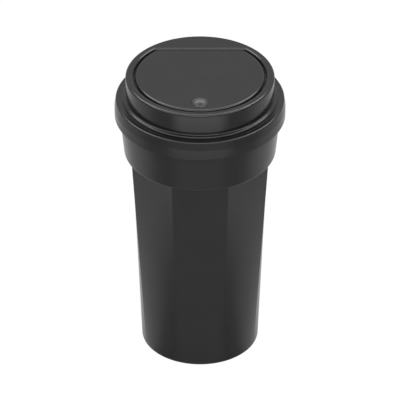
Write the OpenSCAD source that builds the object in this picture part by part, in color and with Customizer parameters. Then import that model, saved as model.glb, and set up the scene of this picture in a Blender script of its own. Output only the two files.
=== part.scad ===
// Car trash bin: a lofted cup, and a press-on lid with a pop-up flap, a press button and a latch.
// The origin is the centre of the base. +Z is up and the front, with the button, faces -Y.

/* [Cup] */
// Radius of the round base
base_r = 33.3; // [28:0.1:36]
// Height of the octagonal body, up to the lower edge of the collar
body_h = 125.5; // [80:0.5:170]
// How far the corners of the octagon stay inside the lower edge of the collar
corner_inset = 1.35; // [0.9:0.05:2]
// Thickness of the moulded wall
wall_t = 1.8; // [1.4:0.1:2.4]
// Thickness of the floor of the cup
floor_t = 2.2; // [1.6:0.1:4]
// Rounding of the edge of the base
base_round = 0.85; // [0.4:0.05:1.6]
// Depth of the recess under the base
foot_recess = 1.2; // [0.6:0.1:2]
// Width of the ring that the cup stands on
foot_w = 3.4; // [2.5:0.1:8]

/* [Collar] */
// Inner radius of the mouth of the cup, which the sizes of the lid follow
mouth_r = 42.2; // [38:0.1:46]
// Thickness of the rim that the lid slips over
rim_t = 2; // [1.6:0.1:2.6]
// Height of the rim above the collar
rim_h = 8.4; // [6:0.1:14]
// How far the collar stands out from the rim
collar_step = 0.6; // [0.3:0.1:1]
// How much narrower the collar is at its lower edge
collar_taper = 2.2; // [1.5:0.1:3]
// Height of the visible collar
collar_h = 24.1; // [18:0.1:40]
// Rounding of the lower edge of the collar
collar_round = 1.6; // [0.3:0.1:1.8]
// Thickness of the shoulder inside the collar, where the bag ring rests
shoulder_t = 2.3; // [1.6:0.1:4]
// How far the straight part of the mouth goes below the plug of the lid
mouth_spare = 4; // [2:0.5:6]

/* [Bag ring] */
// Height of the ring that holds the bag
bag_ring_h = 4; // [2.5:0.1:8]
// Width of that ring
bag_ring_w = 2.6; // [1.6:0.1:3]
// Room round the ring and under the lid for the film of the bag
bag_gap = 0.3; // [0.2:0.05:0.5]

/* [Lid skirt] */
// Thickness of the flange
flange_t = 2.4; // [1.6:0.1:3]
// Gap between the rim and the skirt
skirt_gap = 0.9; // [0.6:0.1:2]
// Thickness of the skirt
skirt_t = 2; // [1.4:0.1:2.4]
// How much wider the skirt is than the flange
skirt_flare = 0.6; // [0:0.1:1.5]
// Height over which the skirt widens under the edge of the flange
flare_h = 4; // [1:0.1:5]
// How far the skirt reaches below the flange
skirt_drop = 8.3; // [6:0.1:8.3]
// Rounding of the top edge of the flange
flange_round = 0.9; // [0.4:0.1:1.8]
// How far the plug reaches into the cup
plug_drop = 12.3; // [9:0.1:20]
// Thickness of the plug
plug_t = 1.8; // [1.5:0.1:2.2]
// Gap between the plug and the mouth of the cup, which the seal fills
plug_gap = 0.6; // [0.5:0.05:0.8]

/* [Seals] */
// Height of the rubber seal round the plug
seal_h = 2.6; // [1.6:0.1:4]
// Depth of the groove that the seal sits in
seal_groove = 0.8; // [0.5:0.1:1]
// Clearance that a soft seal keeps from what it closes on
seal_gap = 0.25; // [0.2:0.05:0.3]
// Width of the flat seal under the flap
flap_seal_w = 1; // [0.6:0.1:1.2]
// Thickness of the flat seal under the flap
flap_seal_t = 0.8; // [0.6:0.1:1]

/* [Top ring] */
// How far the wall of the ring stands inside the edge of the flange
ring_inset = 5.6; // [5:0.1:7]
// Height of the ring above the flange
ring_h = 14.3; // [13.8:0.1:20]
// Thickness of the wall of the ring
ring_wall = 2.2; // [1.6:0.1:2.6]
// Rounding of the top edge of the ring
ring_round = 1.2; // [0.4:0.1:2]
// How far the foot of the ring stands out
ledge_w = 1.9; // [1.6:0.1:3]
// Height of that foot
ledge_h = 1.4; // [1.3:0.1:5]
// Rounding of the edge of that foot, the rest of its width being a hollow fillet
ledge_round = 1.1; // [0.3:0.1:1.2]
// Width of the top of the ring
ring_top_w = 4.4; // [3.5:0.1:6]
// Rounding of the edge of the opening
opening_round = 1.2; // [0.4:0.1:1.5]
// Thickness of the top plate behind the flap
ring_plate_t = 1.6; // [1.5:0.1:2]
// Thickness of the shelf that the flap closes on
shelf_t = 1.5; // [1.2:0.1:2]
// Width of that shelf
shelf_w = 2.1; // [1.8:0.1:3]

/* [Flap] */
// Gap between the flap and the ring
flap_gap = 1; // [0.6:0.1:1.4]
// Gap between the straight rear edge of the flap and the ring's top plate
back_gap = 0.6; // [0.5:0.1:1.2]
// Depth of the segment that the straight hinge edge cuts off the round flap
flap_cut = 9.5; // [9:0.1:14]
// Thickness of the flap's top panel
panel_t = 2.2; // [1.8:0.1:2.4]
// Rounding of the edge of the panel
panel_round = 1.2; // [0.1:0.1:1.5]
// Gap between the throat and the liner under the panel
liner_gap = 1.2; // [0.8:0.1:2]
// Depth of the liner
liner_h = 7.3; // [7:0.1:8]
// Thickness of the liner's wall and floor
liner_t = 1.6; // [1.2:0.1:1.8]
// Distance between the flat rear walls of the liner and the panel
liner_setback = 3.7; // [3:0.1:6]

/* [Hinge] */
// Radius of the steel pin
pin_r = 1; // [0.8:0.05:1.2]
// How far the pin reaches past its ears
pin_end = 0.9; // [0.5:0.1:2]
// Radial clearance of the pin in the flap's arms
pin_fit = 0.08; // [0.04:0.01:0.1]
// Radial clearance of the pin in the ring's ears
ear_fit = 0.04; // [0.02:0.01:0.08]
// Wall of the arms and ears round the pin
knuckle_wall = 0.7; // [0.6:0.05:1]
// Gap between the arms and the ring's top plate
knuckle_gap = 0.3; // [0.3:0.05:0.6]
// Height of the flap's rear edge over the ring when the flap is open
swing_gap = 0.9; // [0.8:0.1:1.5]
// Width of each arm along the pin
arm_w = 4; // [3:0.1:4.4]
// Distance of each arm's inner face from the middle
arm_x = 8.4; // [6:0.1:9]
// Thickness of the curved part of each arm
arm_t = 2.2; // [1.8:0.1:2.4]
// Width of each ear
ear_w = 2.6; // [2:0.1:3]
// Side play between an arm and its ear
ear_play = 0.3; // [0.2:0.05:0.5]
// Radial gap between the pin and the coil of the spring
spring_gap = 0.2; // [0.1:0.05:0.2]
// Thickness of the spring wire
spring_wire = 0.5; // [0.4:0.05:0.55]
// Turns of the hinge spring
spring_turns = 6; // [3:1:8]
// Distance between the turns
spring_pitch = 0.75; // [0.65:0.05:1]
// Reach of the spring's long leg under the flap
spring_leg = 11.5; // [9:0.1:14]
// Reach of its short leg under the ring's top plate
spring_rear = 6; // [4:0.1:7]

/* [Button and latch] */
// Radius of the button
button_r = 4.48; // [4.2:0.02:5]
// Distance of the button's middle from the front edge of the flap
button_in = 8.1; // [7.5:0.1:9]
// Height of the domed top of the button
dome_h = 2; // [1:0.1:2.5]
// How far the button can be pressed
button_travel = 1.1; // [0.9:0.05:1.2]
// Radial clearance of the button in the flap
button_fit = 0.1; // [0.05:0.01:0.1]
// Half the width of the button's stem
stem_half = 2; // [1.5:0.1:2.2]
// Thickness of the latch plate
latch_t = 1.6; // [1.2:0.1:1.8]
// Half the width of the latch
latch_half = 4.4; // [4:0.1:4.6]
// Height of the latch above the floor of the liner
latch_lift = 0.9; // [0.5:0.1:1.1]
// How far the latch's nose reaches under the shelf
latch_bite = 0.7; // [0.5:0.05:0.8]
// Thickness of the latch's spring fingers
finger_t = 0.8; // [0.6:0.05:1]

/* [Screws] */
// Radius of the lid screws' shank
screw_r = 1.1; // [0.9:0.05:1.2]
// Width of the rim of the lid screws' heads
head_rim = 0.9; // [0.7:0.05:1]
// Height of the screw heads
head_h = 1.4; // [1:0.1:1.6]
// Length of the lid screws below their heads
lid_screw_l = 7; // [5:0.5:8]
// Radius of the flap screws' shank
flap_shank_r = 0.9; // [0.8:0.05:1.1]
// Length of the flap screws below their heads
flap_screw_l = 6; // [4.5:0.5:6]
// Distance of the flap screws from the round wall of the liner
flap_screw_in = 8; // [5:0.5:11]
// Angle of the flap screws behind and in front of the middle
flap_screw_angle = 30; // [20:1:40]

/* [Hidden] */
$fn = 96;

// Clearance between pieces that lie beside each other
clearance = 0.3;
// Overlap that joins two solids of one piece, and by which a cut runs past a face
join = 0.5;

// Sides of the body, and the angle of each
sides = 8;
side_angle = 360 / sides;
// Points round each side of the outside and of the inside of the loft, and rings up them
outer_steps = 12;
outer_rings = 20;
inner_steps = 6;
inner_rings = 8;
// Steps in the rounded edge of the base
round_steps = 3;

// Radii of the cup
rim_r = mouth_r + rim_t;
collar_top_r = rim_r + collar_step;
collar_low_r = collar_top_r - collar_taper;
collar_inner_r = collar_low_r - wall_t;
octagon_a = (collar_low_r - corner_inset) * cos(side_angle / 2);
bag_ring_r = collar_inner_r - bag_gap;

// Radii of the lid
flange_r = rim_r + skirt_gap + skirt_t;
skirt_low_r = flange_r + skirt_flare;
plug_r = mouth_r - plug_gap;
ring_r = flange_r - ring_inset;
ring_inner_r = ring_r - ring_wall;
ledge_r = ring_r + ledge_w;
opening_r = ring_r - ring_top_w;
throat_r = opening_r - shelf_w;
flap_seal_r = (throat_r + opening_r) / 2;

// Radii of the flap, and the distances of the straight rear edges behind the middle
flap_r = opening_r - flap_gap;
flap_back = flap_r - flap_cut;
opening_back = flap_back + back_gap;
liner_r = throat_r - liner_gap;
liner_back = flap_back - liner_setback;

// Heights of the cup
shoulder_z = body_h + shoulder_t;
collar_top_z = body_h + collar_h;
cup_h = collar_top_z + rim_h;

// Heights of the lid
flange_z = cup_h + bag_gap;
flange_top_z = flange_z + flange_t;
ledge_top_z = flange_top_z + ledge_h;
top_z = flange_top_z + ring_h;
plug_low_z = flange_z - plug_drop;
mouth_low_z = plug_low_z - mouth_spare;
seal_z = flange_z - plug_drop / 2 - seal_h / 2;
panel_z = top_z - panel_t;
shelf_z = panel_z - clearance;
shelf_low_z = shelf_z - shelf_t;
plate_z = top_z - ring_plate_t;
// The shelf stops in front of the rear pocket, where the hinge is
pocket_y = liner_back - clearance;

// Hinge
knuckle_r = pin_r + knuckle_wall;
pivot_drop = knuckle_r + knuckle_gap;
pivot_back = pivot_drop + ring_plate_t + swing_gap - back_gap;
pivot_y = opening_back + pivot_back;
pivot_z = plate_z - pivot_drop;
spring_r = pin_r + spring_gap + spring_wire / 2;
ear_x = arm_x + arm_w + ear_play;
pin_half = ear_x + ear_w + pin_end;
// The arms hook round the edge of the top plate with this clearance when the flap is open
arm_clear = 0.5;
arm_top_z = pivot_z - pivot_back - arm_clear;
arm_low_z = arm_top_z - arm_t;
arm_front_y = min(
    flap_back - clearance,
    pivot_y - norm([pivot_back, pivot_drop + ring_plate_t]) - arm_clear
);
// Radius about the pin at which the flap swings past the rounded edge of the top plate
plate_corner = [pivot_back - opening_round, pivot_drop + ring_plate_t - opening_round];
swing_r = norm(plate_corner) + opening_round + clearance;

// Flap
liner_z = panel_z - liner_h;
liner_floor_z = liner_z + liner_t;

// Button and latch
button_front = flap_r - button_in;
cap_depth = 2.7;
cap_low_z = top_z - cap_depth;
wing_top_z = panel_z - clearance;
wing_t = 0.8;
wing_w = 4;
wing_reach = 1.6;
latch_z = liner_floor_z + latch_lift;
latch_top_z = latch_z + latch_t;
nose_top_z = shelf_low_z - clearance;
nose_y = -(throat_r + latch_bite);
stem_low_z = liner_floor_z + button_travel + clearance;
// Reach of the stem in front of the button's middle and behind it
stem_front = 3;
stem_back = 1.8;
stem_front_y = -button_front - stem_front;
stem_back_y = -button_front + stem_back;
// Where the 45 degree wedge of the stem ends below the wings, and the gap to the ramp that it pushes
wedge_drop = 1.3;
wedge_top_z = wing_top_z - wedge_drop;
wedge_gap = 0.25;
window_front_y = stem_front_y - button_travel - clearance;
ramp_l = 1.2;
ramp_rise = 0.7;
ramp_back_y = stem_back_y + ramp_l;
ramp_top_z = latch_top_z + ramp_rise;
// Folds of the spring fingers, and the posts that they end on
finger_x = 2;
finger_reach = 6;
finger_pitch = 2.2;
eye_fit = 0.05;
post_r = 1.1;
post_x = 5;
post_reach = 9.5;
post_y = ramp_back_y + post_reach;

// Screws: wall of their bosses, bite of their threads and free depth past their tips
boss_wall = 1.2;
thread_bite = 0.2;
tip_room = 1;
lid_screw_r = throat_r + screw_r + boss_wall;
flap_screw_r = liner_r - liner_t - flap_screw_in;
lid_screw_angles = [45, 135, 225, 315];
lid_hole_top_z = flange_z + lid_screw_l + tip_room;
flap_screw_places = [
    for (x = [-1, 1]) for (y = [-1, 1])
        flap_screw_r * [x * cos(flap_screw_angle), y * sin(flap_screw_angle)]
];
flap_hole_top_z = liner_z + flap_screw_l + tip_room;

black = [0.06, 0.06, 0.065];
dark_grey = [0.1, 0.1, 0.105];
button_grey = [0.3, 0.3, 0.31];
rubber_black = [0.03, 0.03, 0.03];
steel = [0.7, 0.7, 0.72];

// Corner rounded by an arc: its points, from one angle to another about a centre
function arc(centre, r, from, to, steps = 8) =
    [for (i = [0 : steps]) let (a = from + (to - from) * i / steps) centre + r * [cos(a), sin(a)]];

// Distance from the axis to the side of a regular octagon, at an angle from its front flat
function octagon_radius(angle, apothem) =
    apothem / cos((angle + side_angle / 2) % side_angle - side_angle / 2);

// Distance from the axis to the lofted wall: round at the base and octagonal at the collar
function loft_radius(angle, z, inset) =
    let (u = z / body_h)
    (1 - u) * (base_r - inset) + u * octagon_radius(angle, octagon_a - inset);

// Rings of the outside, each [height, inset]: the rounded edge of the base, then the straight loft
function base_rings(top) = concat(
    [for (i = [0 : round_steps - 1]) let (a = 90 * i / round_steps)
        [base_round * (1 - cos(a)), base_round * (1 - sin(a))]],
    [for (i = [0 : outer_rings]) [base_round + (top - base_round) * i / outer_rings, 0]]
);

function plain_rings(bottom, top) =
    [for (i = [0 : inner_rings]) [bottom + (top - bottom) * i / inner_rings, 0]];

// Closed solid through a stack of rings, each [height, inset], with this many steps to each side
module loft(rings, steps, inset) {
    count = steps * sides;
    points = [
        for (ring = rings)
            for (i = [0 : count - 1])
                let (angle = 360 * i / count, r = loft_radius(angle, ring[0], inset) - ring[1])
                [r * sin(angle), -r * cos(angle), ring[0]]
    ];
    last = (len(rings) - 1) * count;
    faces = concat(
        [[for (i = [0 : count - 1]) i]],
        [for (k = [0 : len(rings) - 2]) for (i = [0 : count - 1])
            let (a = k * count + i, b = k * count + (i + 1) % count)
            [a, a + count, b]],
        [for (k = [0 : len(rings) - 2]) for (i = [0 : count - 1])
            let (a = k * count + i, b = k * count + (i + 1) % count)
            [b, a + count, b + count]],
        [[for (i = [count - 1 : -1 : 0]) last + i]]
    );
    polyhedron(points, faces);
}

// Section extruded along X, drawn as [y, z] points, between two values of x
module along_x(x0, x1) {
    translate([x0, 0, 0])
        rotate([90, 0, 90])
            linear_extrude(x1 - x0)
                children();
}

// Everything behind a plane of constant y
module behind(y, low_z, high_z) {
    size = 4 * flange_r;
    translate([-size / 2, y, low_z]) cube([size, size, high_z - low_z]);
}

module cup_body() {
    color(black)
        difference() {
            union() {
                loft(base_rings(body_h + shoulder_t / 2), outer_steps, 0);
                collar_outside();
            }
            cup_inside();
            collar_inside();
            translate([0, 0, -join]) cylinder(r = base_r - foot_w, h = foot_recess + join);
        }
}

// The collar overhangs the octagon and carries the rim
module collar_outside() {
    low = [collar_low_r, body_h];
    slope = atan2(collar_top_r - collar_low_r, collar_h);
    rotate_extrude()
        polygon(concat(
            [[0, body_h]],
            arc(low + [-collar_round, collar_round], collar_round, -90, -slope),
            [[collar_top_r, collar_top_z], [rim_r, collar_top_z], [rim_r, cup_h - join / 2]],
            [[rim_r - join / 2, cup_h], [0, cup_h]]
        ));
}

// Space that the bag hangs in
module cup_inside() {
    loft(plain_rings(foot_recess + floor_t, shoulder_z + join), inner_steps, wall_t);
}

module collar_inside() {
    rotate_extrude()
        polygon([
            [0, shoulder_z], [collar_inner_r, shoulder_z], [mouth_r, mouth_low_z],
            [mouth_r, cup_h + join], [0, cup_h + join]
        ]);
}

// Loose ring over the mouth of the bag, resting on the shoulder
module bag_ring() {
    top = shoulder_z + bag_ring_h;
    edge = bag_ring_w / 4;
    color(dark_grey)
        rotate_extrude()
            polygon(concat(
                [[bag_ring_r - bag_ring_w, shoulder_z], [bag_ring_r, shoulder_z]],
                arc([bag_ring_r - edge, top - edge], edge, 0, 90),
                arc([bag_ring_r - bag_ring_w + edge, top - edge], edge, 90, 180)
            ));
}

// Flange, skirt and plug in one moulding
module lid_skirt() {
    low_z = flange_z - skirt_drop;
    flange_edge = [flange_r - flange_round, flange_top_z - flange_round];
    color(black)
        difference() {
            rotate_extrude()
                polygon(concat(
                    [[throat_r, flange_z], [throat_r, flange_top_z]],
                    arc(flange_edge, flange_round, 90, 0),
                    [[skirt_low_r, flange_edge[1] - flare_h]],
                    [[skirt_low_r, low_z], [skirt_low_r - skirt_t, low_z]],
                    [[flange_r - skirt_t, flange_z], [plug_r, flange_z]],
                    [[plug_r, seal_z + seal_h], [plug_r - seal_groove, seal_z + seal_h]],
                    [[plug_r - seal_groove, seal_z], [plug_r, seal_z]],
                    [[plug_r, plug_low_z], [plug_r - plug_t, plug_low_z], [plug_r - plug_t, flange_z]]
                ));
            lid_screw_holes(screw_r + thread_bite);
        }
}

module lid_screw_holes(r) {
    for (a = lid_screw_angles)
        rotate([0, 0, a])
            translate([lid_screw_r, 0, flange_z - join])
                cylinder(r = r, h = lid_hole_top_z - flange_z + join, $fn = 32);
}

// Rubber ring in the plug's groove, with a lip that meets the mouth of the cup
module lid_seal() {
    slack = 0.05;
    inner = plug_r - seal_groove + slack;
    lip = mouth_r - seal_gap;
    lip_half = seal_h / 10;
    middle = seal_z + seal_h / 2;
    color(rubber_black)
        rotate_extrude()
            polygon([
                [inner, seal_z + slack], [plug_r, seal_z + slack], [lip, middle - lip_half],
                [lip, middle + lip_half], [plug_r, seal_z + seal_h - slack],
                [inner, seal_z + seal_h - slack]
            ]);
}

module top_ring() {
    color(black)
        difference() {
            union() {
                ring_wall_section();
                ring_plate();
                for (a = lid_screw_angles) screw_boss(a);
                for (side = [-1, 1]) hinge_ear(side);
            }
            for (side = [-1, 1]) ear_bore(side);
            lid_screw_holes(screw_r - thread_bite);
        }
}

// Wall, foot and shelf, with the shelf cut away at the rear for the hinge
module ring_wall_section() {
    foot_edge = [ledge_r - ledge_round, ledge_top_z - ledge_round];
    hollow = ledge_w - ledge_round;
    top_edge = [ring_r - ring_round, top_z - ring_round];
    groove_in = flap_seal_r - flap_seal_w / 2;
    groove_out = flap_seal_r + flap_seal_w / 2;
    groove_z = shelf_z - flap_seal_t;
    difference() {
        rotate_extrude()
            polygon(concat(
                [[ring_inner_r, flange_top_z], [ledge_r, flange_top_z]],
                arc(foot_edge, ledge_round, 0, 90),
                arc([ring_r + hollow, ledge_top_z + hollow], hollow, 270, 180),
                arc(top_edge, ring_round, 0, 90),
                arc([opening_r + opening_round, top_z - opening_round], opening_round, 90, 180),
                [[opening_r, shelf_z], [groove_out, shelf_z], [groove_out, groove_z]],
                [[groove_in, groove_z], [groove_in, shelf_z]],
                [[throat_r, shelf_z], [throat_r, shelf_low_z], [ring_inner_r, shelf_low_z]]
            ));
        intersection() {
            translate([0, 0, flange_top_z + join])
                cylinder(r = ring_inner_r, h = plate_z - flange_top_z - join);
            behind(pocket_y, flange_top_z, plate_z);
        }
    }
}

// Top plate behind the flap's straight edge
module ring_plate() {
    edge = [opening_back + opening_round, top_z - opening_round];
    intersection() {
        translate([0, 0, plate_z]) cylinder(r = ring_r - ring_round, h = ring_plate_t);
        along_x(-ring_r, ring_r)
            polygon(concat(
                [[opening_back, plate_z - join]],
                arc(edge, opening_round, 180, 90),
                [[2 * ring_r, top_z], [2 * ring_r, plate_z - join]]
            ));
    }
}

module screw_boss(angle) {
    // The rear bosses stop in the open pocket, and the front ones reach the shelf
    cap = 2;
    top = sin(angle) > 0 ? lid_hole_top_z + cap : shelf_low_z + join;
    rotate([0, 0, angle])
        translate([lid_screw_r, 0, flange_top_z])
            cylinder(r = screw_r + boss_wall, h = top - flange_top_z, $fn = 48);
}

// Ear under the top plate that holds one end of the hinge pin
module hinge_ear(side) {
    reach = sqrt(pow(ring_inner_r, 2) - pow(ear_x + ear_w, 2)) + ring_wall / 2;
    centre = side * (ear_x + ear_w / 2);
    along_x(centre - ear_w / 2, centre + ear_w / 2)
        union() {
            translate([pivot_y, pivot_z]) circle(r = knuckle_r);
            translate([pivot_y, pivot_z - knuckle_r])
                square([reach - pivot_y, knuckle_r + pivot_drop + ring_plate_t / 2]);
            translate([pivot_y - knuckle_r, pivot_z])
                square([knuckle_r, pivot_drop + ring_plate_t / 2]);
        }
}

// Bore of an ear, with the slot that the pin snaps in through, narrower than the pin
module ear_bore(side) {
    centre = side * (ear_x + ear_w / 2);
    slot = 1.6 * pin_r;
    translate([centre - ear_w / 2 - join, pivot_y, pivot_z])
        rotate([0, 90, 0])
            cylinder(r = pin_r + ear_fit, h = ear_w + 2 * join, $fn = 48);
    translate([centre - ear_w / 2 - join, pivot_y - slot / 2, pivot_z - knuckle_r - join])
        cube([ear_w + 2 * join, slot, knuckle_r + join]);
}

// Four self-tapping screws, up through the flange into the ring
module lid_screws() {
    color(steel)
        for (a = lid_screw_angles)
            rotate([0, 0, a])
                translate([lid_screw_r, 0, flange_z])
                    screw(screw_r, lid_screw_l);
}

// Screw pointing up, with its head below the origin
module screw(shank_r, length) {
    pan_r = shank_r + head_rim;
    socket_r = 0.45 * pan_r;
    difference() {
        rotate_extrude($fn = 48)
            polygon(concat(
                [[0, -head_h], [pan_r - head_h / 3, -head_h]],
                arc([pan_r - head_h / 3, -head_h * 2 / 3], head_h / 3, -90, 0, 4),
                [[pan_r, 0], [shank_r, 0], [shank_r, length - shank_r], [shank_r / 4, length], [0, length]]
            ));
        for (turn = [0, 90])
            rotate([0, 0, turn])
                translate([-socket_r, -socket_r / 4, -head_h - join])
                    cube([2 * socket_r, socket_r / 2, head_h / 2 + join]);
    }
}

// Flat seal in the shelf, a little proud of it and open at the rear like the shelf
module flap_seal() {
    slack = 0.05;
    proud = 0.1;
    color(rubber_black)
        difference() {
            translate([0, 0, shelf_z - flap_seal_t])
                difference() {
                    cylinder(r = flap_seal_r + flap_seal_w / 2 - slack, h = flap_seal_t + proud);
                    translate([0, 0, -join])
                        cylinder(r = flap_seal_r - flap_seal_w / 2 + slack, h = flap_seal_t + 2 * join);
                }
            behind(pocket_y - clearance, shelf_low_z, top_z);
        }
}

// Steel pin with a flat head at one end
module hinge_pin() {
    chamfer = 0.3;
    pin_head_r = 1.5 * pin_r;
    pin_head_t = 0.6;
    color(steel)
        translate([0, pivot_y, pivot_z])
            rotate([0, 90, 0])
                rotate_extrude($fn = 48)
                    polygon([
                        [0, -pin_half], [pin_r - chamfer, -pin_half], [pin_r, -pin_half + chamfer],
                        [pin_r, pin_half], [pin_head_r, pin_half], [pin_head_r, pin_half + pin_head_t],
                        [0, pin_half + pin_head_t]
                    ]);
}

// Route of the spring wire as [x, y, z] from the pivot: rear leg, coil round the pin, long bent leg
coil_half = spring_turns * spring_pitch / 2;
rear_rise = 0.2;
leg_low_z = liner_z - spring_wire / 2 - clearance / 2 - pivot_z;
leg_bend = 0.8;
turn_steps = 12;
spring_route = concat(
    [[-coil_half, spring_rear, spring_r + rear_rise]],
    [for (i = [0 : (spring_turns + 0.25) * turn_steps])
        let (turn = i / turn_steps, a = 90 + 360 * turn)
        [-coil_half + turn * spring_pitch, spring_r * cos(a), spring_r * sin(a)]],
    let (x = coil_half + spring_pitch / 4)
    concat(
        [[x, -spring_r, leg_low_z / 2]],
        [for (a = [0 : 30 : 90])
            [x, -spring_r - leg_bend * (1 - cos(a)), leg_low_z + leg_bend * (1 - sin(a))]],
        [[x, -spring_leg, leg_low_z]]
    )
);

function unit(v) = v / norm(v);

// Points of one ring of the swept wire, square to its run, which is never along X
function wire_ring(route, i, r, count) =
    let (
        before = route[max(i - 1, 0)],
        after = route[min(i + 1, len(route) - 1)],
        ahead = unit(after - before),
        side = unit(cross(ahead, [1, 0, 0])),
        up = cross(ahead, side)
    )
    [for (k = [0 : count - 1]) let (a = 360 * k / count) route[i] + r * (cos(a) * side + sin(a) * up)];

// Round wire along a route of points
module wire(route, r, count = 8) {
    points = [for (i = [0 : len(route) - 1]) each wire_ring(route, i, r, count)];
    last = (len(route) - 1) * count;
    faces = concat(
        [[for (k = [0 : count - 1]) k]],
        [for (i = [0 : len(route) - 2]) for (k = [0 : count - 1])
            let (a = i * count + k, b = i * count + (k + 1) % count)
            [a, a + count, b + count, b]],
        [[for (k = [count - 1 : -1 : 0]) last + k]]
    );
    polyhedron(points, faces);
}

// Torsion spring that throws the flap open once the latch lets go
module hinge_spring() {
    color(steel)
        translate([0, pivot_y, pivot_z])
            wire(spring_route, spring_wire / 2);
}

// Smooth top of the flap, with the hole for the button and bosses for the liner's screws
module flap_panel() {
    post_cover = 0.5;
    color(black)
        difference() {
            union() {
                difference() {
                    rotate_extrude()
                        polygon(concat(
                            [[0, panel_z], [flap_r, panel_z]],
                            arc([flap_r - panel_round, top_z - panel_round], panel_round, 0, 90),
                            [[0, top_z]]
                        ));
                    rear_edge_cut();
                }
                for (place = flap_screw_places)
                    translate([place[0], place[1], liner_floor_z])
                        cylinder(r = flap_shank_r + boss_wall, h = panel_z - liner_floor_z + join, $fn = 48);
                for (side = [-1, 1])
                    translate([side * post_x, post_y, latch_top_z + clearance])
                        cylinder(r = post_r + post_cover, h = panel_z - latch_top_z, $fn = 48);
            }
            translate([0, -button_front, panel_z - join])
                cylinder(r = button_r + button_fit, h = panel_t + 2 * join);
            flap_screw_holes(flap_shank_r - thread_bite);
        }
}

// Takes the segment behind the flap's straight edge away, rounds that edge, and leans its
// lower part forward so that it swings clear of the top plate
module rear_edge_cut() {
    edge = [flap_back - panel_round, top_z - panel_round];
    low_y = min(flap_back, pivot_y - sqrt(pow(swing_r, 2) - pow(panel_z - pivot_z, 2)));
    along_x(-flap_r, flap_r)
        polygon(concat(
            [[low_y, panel_z - join], [low_y, panel_z]],
            arc(edge, panel_round, 0, 90),
            [[edge[0], top_z + join], [flap_r + join, top_z + join], [flap_r + join, panel_z - join]]
        ));
}

module flap_screw_holes(r) {
    for (place = flap_screw_places)
        translate([place[0], place[1], liner_z - join])
            cylinder(r = r, h = flap_hole_top_z - liner_z + join, $fn = 32);
}

// Tray under the panel that carries the hinge arms and guides the latch
module flap_liner() {
    color(dark_grey)
        difference() {
            union() {
                liner_tray();
                for (side = [-1, 1]) {
                    hinge_arm(side);
                    latch_rail(side);
                    translate([side * post_x, post_y, liner_floor_z - join])
                        cylinder(r = post_r, h = latch_top_z - liner_floor_z + join, $fn = 48);
                }
            }
            // Slot that the nose of the latch comes out of
            translate([-latch_half - clearance, -2 * liner_r, latch_z - clearance])
                cube([
                    2 * (latch_half + clearance), 2 * liner_r + window_front_y + join,
                    nose_top_z - latch_z + 2 * clearance
                ]);
            // Room for the cap of the button when it is pressed
            translate([0, -button_front, cap_low_z - button_travel - clearance])
                cylinder(r = button_r + clearance, h = liner_h);
            flap_screw_holes(flap_shank_r + thread_bite);
        }
}

module liner_tray() {
    difference() {
        translate([0, 0, liner_z]) cylinder(r = liner_r, h = liner_h);
        behind(liner_back, liner_z - join, panel_z + join);
        difference() {
            translate([0, 0, liner_floor_z]) cylinder(r = liner_r - liner_t, h = liner_h);
            behind(liner_back - liner_t, liner_z, panel_z + join);
        }
    }
}

// Arm that hooks down and round the edge of the top plate to the pin
module hinge_arm(side) {
    centre = side * (arm_x + arm_w / 2);
    neck_half = 0.7 * knuckle_r;
    difference() {
        along_x(centre - arm_w / 2, centre + arm_w / 2)
            union() {
                translate([pivot_y, pivot_z]) circle(r = knuckle_r);
                translate([pivot_y - neck_half, arm_low_z + arm_t / 2])
                    square([2 * neck_half, pivot_z - arm_low_z - arm_t / 2]);
                translate([pivot_y, arm_low_z + arm_t / 2]) circle(r = arm_t / 2);
                translate([liner_back - join, arm_low_z])
                    square([pivot_y - liner_back + join, arm_t]);
                polygon([
                    [liner_back - join, arm_low_z + arm_t / 2], [arm_front_y, arm_low_z + arm_t / 2],
                    [arm_front_y, panel_z], [liner_back - join, panel_z]
                ]);
            }
        translate([centre - arm_w / 2 - join, pivot_y, pivot_z])
            rotate([0, 90, 0])
                cylinder(r = pin_r + pin_fit, h = arm_w + 2 * join, $fn = 48);
    }
}

// Rails on the tray's floor that keep the latch straight
module latch_rail(side) {
    rail_t = 1;
    start_y = window_front_y + rail_t;
    inner = latch_half + clearance;
    translate([side > 0 ? inner : -inner - rail_t, start_y, liner_floor_z - join])
        cube([rail_t, ramp_back_y - start_y, latch_top_z - liner_floor_z + join]);
}

// Four short screws that hold the liner to the panel
module flap_screws() {
    color(steel)
        for (place = flap_screw_places)
            translate([place[0], place[1], liner_z])
                screw(flap_shank_r, flap_screw_l);
}

// Latch moulded in one piece: nose, window with its ramp, and two spring fingers fixed on posts
module latch() {
    ramp_low_y = latch_z - wedge_top_z + stem_back_y + wedge_gap;
    ramp_high_y = ramp_top_z - wedge_top_z + stem_back_y + wedge_gap;
    nose_slope = latch_t;
    nose_l = 1.9;
    color(dark_grey)
        union() {
            // Nose with a slope below, so that the flap snaps shut
            along_x(-latch_half, latch_half)
                polygon([
                    [window_front_y, latch_z], [nose_y + nose_slope, latch_z],
                    [nose_y, latch_z + nose_slope], [nose_y, nose_top_z],
                    [nose_y + nose_l, nose_top_z], [window_front_y, latch_top_z]
                ]);
            for (side = [-1, 1]) {
                translate([side > 0 ? stem_half + clearance : -latch_half, window_front_y - join, latch_z])
                    cube([latch_half - stem_half - clearance, ramp_back_y - window_front_y + join, latch_t]);
                mirror([side > 0 ? 0 : 1, 0, 0]) spring_finger();
            }
            // Ramp that the stem of the button pushes back
            along_x(-latch_half, latch_half)
                polygon([
                    [ramp_low_y, latch_z], [ramp_high_y, ramp_top_z],
                    [ramp_back_y, ramp_top_z], [ramp_back_y, latch_z]
                ]);
        }
}

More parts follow.
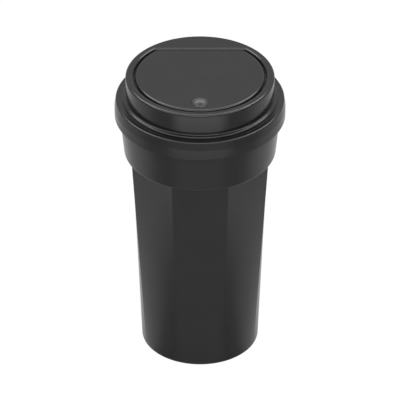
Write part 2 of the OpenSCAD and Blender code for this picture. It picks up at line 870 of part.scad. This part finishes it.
// Folded finger on the right side, ending in an eye round its post
module spring_finger() {
    far_x = finger_x + finger_reach;
    folds = [for (i = [0 : 3]) ramp_back_y + i * finger_pitch];
    path = [
        [finger_x, ramp_back_y - join], [finger_x, folds[1]], [far_x, folds[1]], [far_x, folds[2]],
        [finger_x, folds[2]], [finger_x, folds[3]], [post_x, folds[3]], [post_x, post_y - post_r]
    ];
    translate([0, 0, latch_z])
        linear_extrude(latch_t)
            difference() {
                union() {
                    for (i = [0 : len(path) - 2]) finger_bar(path[i], path[i + 1]);
                    translate([post_x, post_y]) circle(r = post_r + eye_fit + finger_t, $fn = 48);
                }
                translate([post_x, post_y]) circle(r = post_r + eye_fit, $fn = 48);
            }
}

// Straight stretch of a finger along X or Y, with round ends
module finger_bar(from, to) {
    half = finger_t / 2;
    along = to[1] == from[1];
    low = [min(from[0], to[0]), min(from[1], to[1])];
    length = norm(to - from);
    for (end = [from, to])
        translate(end) circle(r = half, $fn = 24);
    translate(low - (along ? [0, half] : [half, 0]))
        square(along ? [length, finger_t] : [finger_t, length]);
}

// Press button: a domed cap, two wings that keep it in the flap, and a wedge-ended stem
module button() {
    wedge_h = wedge_top_z - stem_low_z;
    dome_r = (pow(button_r, 2) + pow(dome_h, 2)) / (2 * dome_h);
    dome_a = asin(button_r / dome_r);
    wing_half = button_r + wing_reach;
    color(button_grey)
        union() {
            translate([0, -button_front, 0])
                rotate_extrude()
                    polygon(concat(
                        [[0, cap_low_z], [button_r, cap_low_z]],
                        arc([0, top_z + dome_h - dome_r], dome_r, 90 - dome_a, 90, 12)
                    ));
            translate([-wing_half, -button_front - wing_w / 2, wing_top_z - wing_t])
                cube([2 * wing_half, wing_w, wing_t]);
            along_x(-stem_half, stem_half)
                polygon([
                    [stem_front_y, wing_top_z], [stem_back_y, wing_top_z], [stem_back_y, wedge_top_z],
                    [stem_back_y - wedge_h, stem_low_z], [stem_front_y, stem_low_z]
                ]);
        }
}

cup_body();
bag_ring();
lid_skirt();
lid_seal();
top_ring();
lid_screws();
flap_seal();
hinge_pin();
hinge_spring();
flap_panel();
flap_liner();
flap_screws();
latch();
button();
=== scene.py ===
"""Car trash bin: finishes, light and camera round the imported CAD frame. Units are metres."""

import math

import bpy
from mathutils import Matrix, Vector

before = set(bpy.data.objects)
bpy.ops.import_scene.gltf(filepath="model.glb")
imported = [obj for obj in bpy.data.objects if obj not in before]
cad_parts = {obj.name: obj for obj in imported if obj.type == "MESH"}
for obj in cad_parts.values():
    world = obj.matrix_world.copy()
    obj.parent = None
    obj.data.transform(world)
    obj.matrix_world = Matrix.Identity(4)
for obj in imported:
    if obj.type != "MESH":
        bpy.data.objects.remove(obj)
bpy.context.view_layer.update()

# Camera, fitted to the photograph
CAM_ELEVATION = math.radians(34.15)
CAM_DISTANCE = 2.546
CAM_TARGET = Vector((0, 0, 0.09124))
CAM_LENS = 405
CAM_SENSOR = 36
CAM_REACH = 20

# Lamps: how far each is from the camera's target, and what the lamps of a pair share
LAMP_DISTANCE = 1.3
RIM_LAMP = {"elevation": 52, "width": 0.45, "height": 0.45, "radiance": 6}
SIDE_LAMP = {"elevation": 50, "width": 0.9, "height": 0.5, "radiance": 3.7}

# Table: its side, how far it lies under the base, so that the two faces don't share a plane, and
# its colour where it takes the object's shadow
FLOOR_SIZE = 12
FLOOR_DROP = 0.00005
FLOOR_COLOUR = (0.9, 0.9, 0.9, 1)
# Painted reflection: strength of the glow that the table shows only in mirrors: in front, in the
# grey bands of painted shade beside that, at the sides, and the extra strength of the bright patch
# of painted light in front, which eases in and out between distances from the bin
FLOOR_MIDDLE = 0.56
FLOOR_PAINTED_SHADE = 0.32
FLOOR_SIDE = 0.61
FLOOR_PAINTED_LIGHT = 1.6
PATCH_START = (0.29, 0.302)
PATCH_END = (0.38, 0.44)
# Degrees from the front between which the middle turns grey, the sides come in and the patch ends
MIDDLE_FADE = (26, 52)
SIDE_FADE = (68, 94)
PATCH_FADE = (26, 50)
# Distance that widens the pattern's angles near the base, where the narrow end of the cup
# mirrors it
NEAR_SPREAD = 0.02

# Plastics: the part of a noise's range that counts, scale and detail of the noise in tone and in
# gloss, and how far each wanders from its mean, tone as a share and gloss as roughness
NOISE_RANGE = (0.3, 0.7)
TONE_NOISE = (60, 3)
TONE_SPREAD = 0.15
GLOSS_NOISE = (220, 4)
GLOSS_SPREAD = 0.012
# Moulded grain, and the radius that small edges get from the Bevel node
GRAIN_DETAIL = 2
GRAIN_STRENGTH = 0.5
SMALL_EDGE = 0.00025
EDGE_SAMPLES = 6

# Steel: noise scale along each axis, which draws it out to lines, and how deep the lines are
LINE_SCALE = (12000, 1500, 1500)
LINE_DETAIL = 3
LINE_SPREAD = 0.1
LINE_STRENGTH = 0.3
LINE_DEPTH = 0.00001


# Node helpers

def node_tree(owner):
    """Nodes and links of a material or world."""
    owner.use_nodes = True
    return owner.node_tree.nodes, owner.node_tree.links


def math_node(nodes, links, operation, first, second=None):
    """Output of a maths node whose inputs are sockets or numbers."""
    node = nodes.new("ShaderNodeMath")
    node.operation = operation
    for slot, value in enumerate((first, second)):
        if value is None:
            continue
        if isinstance(value, (int, float)):
            node.inputs[slot].default_value = value
        else:
            links.new(value, node.inputs[slot])
    return node.outputs[0]


def map_range(nodes, links, value, start, end, low, high, smooth=False):
    """Value that goes from low to high while its source goes from start to end."""
    span = nodes.new("ShaderNodeMapRange")
    if smooth:
        span.interpolation_type = "SMOOTHSTEP"
    span.inputs["From Min"].default_value = start
    span.inputs["From Max"].default_value = end
    span.inputs["To Min"].default_value = low
    span.inputs["To Max"].default_value = high
    links.new(value, span.inputs["Value"])
    return span.outputs["Result"]


def mix_shaders(nodes, links, share, first, second):
    """Output of a mix of two shader nodes, the second by its share."""
    mix = nodes.new("ShaderNodeMixShader")
    links.new(share, mix.inputs[0])
    links.new(first.outputs[0], mix.inputs[1])
    links.new(second.outputs[0], mix.inputs[2])
    return mix.outputs[0]


def seen_by_eye(nodes, links, camera_share, mirror_share):
    """Socket with the share of the look that camera, glossy and transmission rays get."""
    path = nodes.new("ShaderNodeLightPath")
    shares = (("Is Camera Ray", camera_share), ("Is Glossy Ray", mirror_share),
              ("Is Transmission Ray", camera_share))
    total = 0
    for name, share in shares:
        part = math_node(nodes, links, "MULTIPLY", path.outputs[name], share)
        total = math_node(nodes, links, "ADD", part, total)
    return total


# Camera, light and stage

def aim(obj):
    """Turns an object's -Z axis to the camera's target."""
    obj.rotation_euler = (CAM_TARGET - obj.location).to_track_quat("-Z", "Y").to_euler()


def add_camera():
    """Camera at the photograph's angle and distance."""
    data = bpy.data.cameras.new("camera")
    data.lens = CAM_LENS
    data.sensor_width = CAM_SENSOR
    data.clip_end = CAM_REACH
    camera = bpy.data.objects.new("camera", data)
    back = Vector((0, -math.cos(CAM_ELEVATION), math.sin(CAM_ELEVATION)))
    camera.location = CAM_TARGET + CAM_DISTANCE * back
    aim(camera)
    bpy.context.scene.collection.objects.link(camera)
    bpy.context.scene.camera = camera


def add_softbox(name, azimuth, elevation, width, height, radiance):
    """Area lamp aimed at the object. Azimuth 0 is the front and 90 is the right."""
    data = bpy.data.lights.new(name, "AREA")
    data.shape = "RECTANGLE"
    data.size = width
    data.size_y = height
    data.energy = radiance * math.pi * width * height
    lamp = bpy.data.objects.new(name, data)
    a, e = math.radians(azimuth), math.radians(elevation)
    lamp.location = CAM_TARGET + LAMP_DISTANCE * Vector(
        (math.cos(e) * math.sin(a), -math.cos(e) * math.cos(a), math.sin(e)))
    aim(lamp)
    bpy.context.scene.collection.objects.link(lamp)


def add_world(light, low, high, low_z, high_z):
    """White round the horizon and darker overhead, with a plain soft light on the object."""
    world = bpy.data.worlds.new("world")
    nodes, links = node_tree(world)
    nodes.clear()
    split = nodes.new("ShaderNodeSeparateXYZ")
    links.new(nodes.new("ShaderNodeTexCoord").outputs["Generated"], split.inputs[0])
    sky = map_range(nodes, links, split.outputs["Z"], low_z, high_z, low, high, smooth=True)
    plain, seen = nodes.new("ShaderNodeBackground"), nodes.new("ShaderNodeBackground")
    plain.inputs["Strength"].default_value = light
    links.new(sky, seen.inputs["Strength"])
    look = mix_shaders(nodes, links, seen_by_eye(nodes, links, 1, 1), plain, seen)
    links.new(look, nodes.new("ShaderNodeOutputWorld").inputs["Surface"])
    bpy.context.scene.world = world


def place_on_floor(nodes, links):
    """Sockets with the distance from the bin's axis and with the widened angle from the front."""
    place = nodes.new("ShaderNodeTexCoord").outputs["Object"]
    split = nodes.new("ShaderNodeSeparateXYZ")
    links.new(place, split.inputs[0])
    front = math_node(nodes, links, "MULTIPLY", split.outputs["Y"], -1)
    turn = math_node(nodes, links, "ARCTAN2", split.outputs["X"], front)
    length = nodes.new("ShaderNodeVectorMath")
    length.operation = "LENGTH"
    links.new(place, length.inputs[0])
    distance = length.outputs["Value"]
    near = math_node(nodes, links, "DIVIDE", NEAR_SPREAD, distance)
    widening = math_node(nodes, links, "ADD", near, 1)
    angle = math_node(nodes, links, "ABSOLUTE", turn)
    return distance, math_node(nodes, links, "MULTIPLY", angle, widening)


def painted_floor_reflection(nodes, links):
    """What glossy surfaces see of the table: a painted reflection, greyer with painted shade at
    both sides of a bright patch of painted light in front.
    """
    distance, angle = place_on_floor(nodes, links)

    def fade(degrees, low, high):
        start, end = map(math.radians, degrees)
        return map_range(nodes, links, angle, start, end, low, high, smooth=True)

    # Painted shade in the grey bands and painted light in the front patch, seen only in mirrors
    middle = fade(MIDDLE_FADE, FLOOR_MIDDLE, FLOOR_PAINTED_SHADE)
    side = fade(SIDE_FADE, 0, FLOOR_SIDE - FLOOR_PAINTED_SHADE)
    patch = fade(PATCH_FADE, FLOOR_PAINTED_LIGHT, 0)
    start = map_range(nodes, links, distance, *PATCH_START, 0, 1, smooth=True)
    end = map_range(nodes, links, distance, *PATCH_END, 1, 0, smooth=True)
    reach = math_node(nodes, links, "MULTIPLY", start, end)
    patch = math_node(nodes, links, "MULTIPLY", patch, reach)
    round_it = math_node(nodes, links, "ADD", middle, side)
    return math_node(nodes, links, "ADD", round_it, patch)


def floor_material(camera_share, mirror_share):
    """Pale table that reads white to the eye, but still takes a share of the object's shadow; in
    mirrors it glows with a painted reflection.
    """
    material = bpy.data.materials.new("floor")
    nodes, links = node_tree(material)
    nodes.clear()
    diffuse = nodes.new("ShaderNodeBsdfDiffuse")
    diffuse.inputs["Color"].default_value = FLOOR_COLOUR
    glossy = nodes.new("ShaderNodeLightPath").outputs["Is Glossy Ray"]
    # Painted reflection: glossy rays see the table glow in the painted pattern, other rays see a
    # plain glow of strength 1
    pattern = math_node(nodes, links, "MULTIPLY", painted_floor_reflection(nodes, links), glossy)
    plain = math_node(nodes, links, "SUBTRACT", 1, glossy)
    glow = nodes.new("ShaderNodeEmission")
    links.new(math_node(nodes, links, "ADD", pattern, plain), glow.inputs["Strength"])
    share = seen_by_eye(nodes, links, camera_share, mirror_share)
    look = mix_shaders(nodes, links, share, diffuse, glow)
    links.new(look, nodes.new("ShaderNodeOutputMaterial").inputs["Surface"])
    return material


def add_floor(material):
    """Table that the bin stands on."""
    mesh = bpy.data.meshes.new("floor")
    s = FLOOR_SIZE / 2
    mesh.from_pydata([(-s, -s, 0), (s, -s, 0), (s, s, 0), (-s, s, 0)], [], [(0, 1, 2, 3)])
    mesh.materials.append(material)
    plane = bpy.data.objects.new("floor", mesh)
    plane.location = (0, 0, -FLOOR_DROP)
    bpy.context.scene.collection.objects.link(plane)


# Finishes

def noise(nodes, links, vector, scale, detail):
    """Output of a noise texture that lies in the space of a vector."""
    texture = nodes.new("ShaderNodeTexNoise")
    texture.inputs["Scale"].default_value = scale
    texture.inputs["Detail"].default_value = detail
    links.new(vector, texture.inputs["Vector"])
    return texture.outputs["Fac"]


def add_bump(nodes, links, height, strength, distance):
    """Bump node that raises the main shader's surface by a height."""
    bump = nodes.new("ShaderNodeBump")
    bump.inputs["Strength"].default_value = strength
    bump.inputs["Distance"].default_value = distance
    links.new(height, bump.inputs["Height"])
    links.new(bump.outputs["Normal"], nodes["Principled BSDF"].inputs["Normal"])
    return bump


def moulded(name, colour, roughness, grain, grain_scale=9000, ior=1.45):
    """Moulded plastic: fine spark grain, uneven gloss, a little tone variation and soft edges."""
    material = bpy.data.materials.new(name)
    nodes, links = node_tree(material)
    shader = nodes["Principled BSDF"]
    place = nodes.new("ShaderNodeTexCoord").outputs["Object"]

    tone = nodes.new("ShaderNodeVectorMath")
    tone.operation = "SCALE"
    tone.inputs[0].default_value = colour
    shade = map_range(nodes, links, noise(nodes, links, place, *TONE_NOISE), *NOISE_RANGE,
                      1 - TONE_SPREAD, 1 + TONE_SPREAD)
    links.new(shade, tone.inputs["Scale"])
    links.new(tone.outputs["Vector"], shader.inputs["Base Color"])
    gloss = map_range(nodes, links, noise(nodes, links, place, *GLOSS_NOISE), *NOISE_RANGE,
                      roughness - GLOSS_SPREAD, roughness + GLOSS_SPREAD)
    links.new(gloss, shader.inputs["Roughness"])
    shader.inputs["IOR"].default_value = ior

    bevel = nodes.new("ShaderNodeBevel")
    bevel.inputs["Radius"].default_value = SMALL_EDGE
    bevel.samples = EDGE_SAMPLES
    height = noise(nodes, links, place, grain_scale, GRAIN_DETAIL)
    bump = add_bump(nodes, links, height, GRAIN_STRENGTH, grain)
    links.new(bevel.outputs["Normal"], bump.inputs["Normal"])
    return material


def brushed_metal(name, colour, roughness):
    """Drawn or turned steel with fine lines round its length."""
    material = bpy.data.materials.new(name)
    nodes, links = node_tree(material)
    shader = nodes["Principled BSDF"]
    shader.inputs["Base Color"].default_value = (*colour, 1)
    shader.inputs["Metallic"].default_value = 1
    stretch = nodes.new("ShaderNodeMapping")
    stretch.inputs["Scale"].default_value = LINE_SCALE
    links.new(nodes.new("ShaderNodeTexCoord").outputs["Object"], stretch.inputs["Vector"])
    lines = noise(nodes, links, stretch.outputs["Vector"], 1, LINE_DETAIL)
    gloss = map_range(nodes, links, lines, 0, 1, roughness - LINE_SPREAD, roughness + LINE_SPREAD)
    links.new(gloss, shader.inputs["Roughness"])
    add_bump(nodes, links, lines, LINE_STRENGTH, LINE_DEPTH)
    return material


def dress(material, *names):
    """Gives CAD nodes their finish."""
    for name in names:
        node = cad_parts[name]
        node.data.materials.clear()
        node.data.materials.append(material)


bpy.context.scene.view_settings.view_transform = "Standard"
add_camera()
add_world(light=0.25, low=0.88, high=0.3, low_z=0.6, high_z=0.8)
add_floor(floor_material(camera_share=0.97, mirror_share=0.85))
add_softbox("top", azimuth=180, elevation=62, width=1.2, height=0.75, radiance=4.4)
add_softbox("rim_right", azimuth=128, **RIM_LAMP)
add_softbox("rim_left", azimuth=-128, **RIM_LAMP)
add_softbox("front", azimuth=0, elevation=50, width=1, height=0.55, radiance=4.3)
add_softbox("front_right", azimuth=62, **SIDE_LAMP)
add_softbox("front_left", azimuth=-62, **SIDE_LAMP)

satin = moulded("satin_black", (0.0075, 0.0075, 0.0078), 0.2, grain=0.00001)
polished = moulded("polished_black", (0.0075, 0.0075, 0.0078), 0.15, grain=0.000006)
matt = moulded("matt_black", (0.016, 0.016, 0.0165), 0.5, grain=0.00004)
button = moulded("button_black", (0.03, 0.03, 0.0308), 0.35, grain=0.00001)
rubber = moulded("rubber", (0.012, 0.012, 0.012), 0.7, grain=0.00005, grain_scale=4000, ior=1.5)
steel = brushed_metal("steel", (0.6, 0.59, 0.57), 0.28)

dress(satin, "cup_body", "lid_skirt")
dress(polished, "top_ring", "flap_panel")
dress(matt, "bag_ring", "flap_liner", "latch")
dress(button, "button")
dress(rubber, "lid_seal", "flap_seal")
dress(steel, "lid_screws", "flap_screws", "hinge_pin", "hinge_spring")
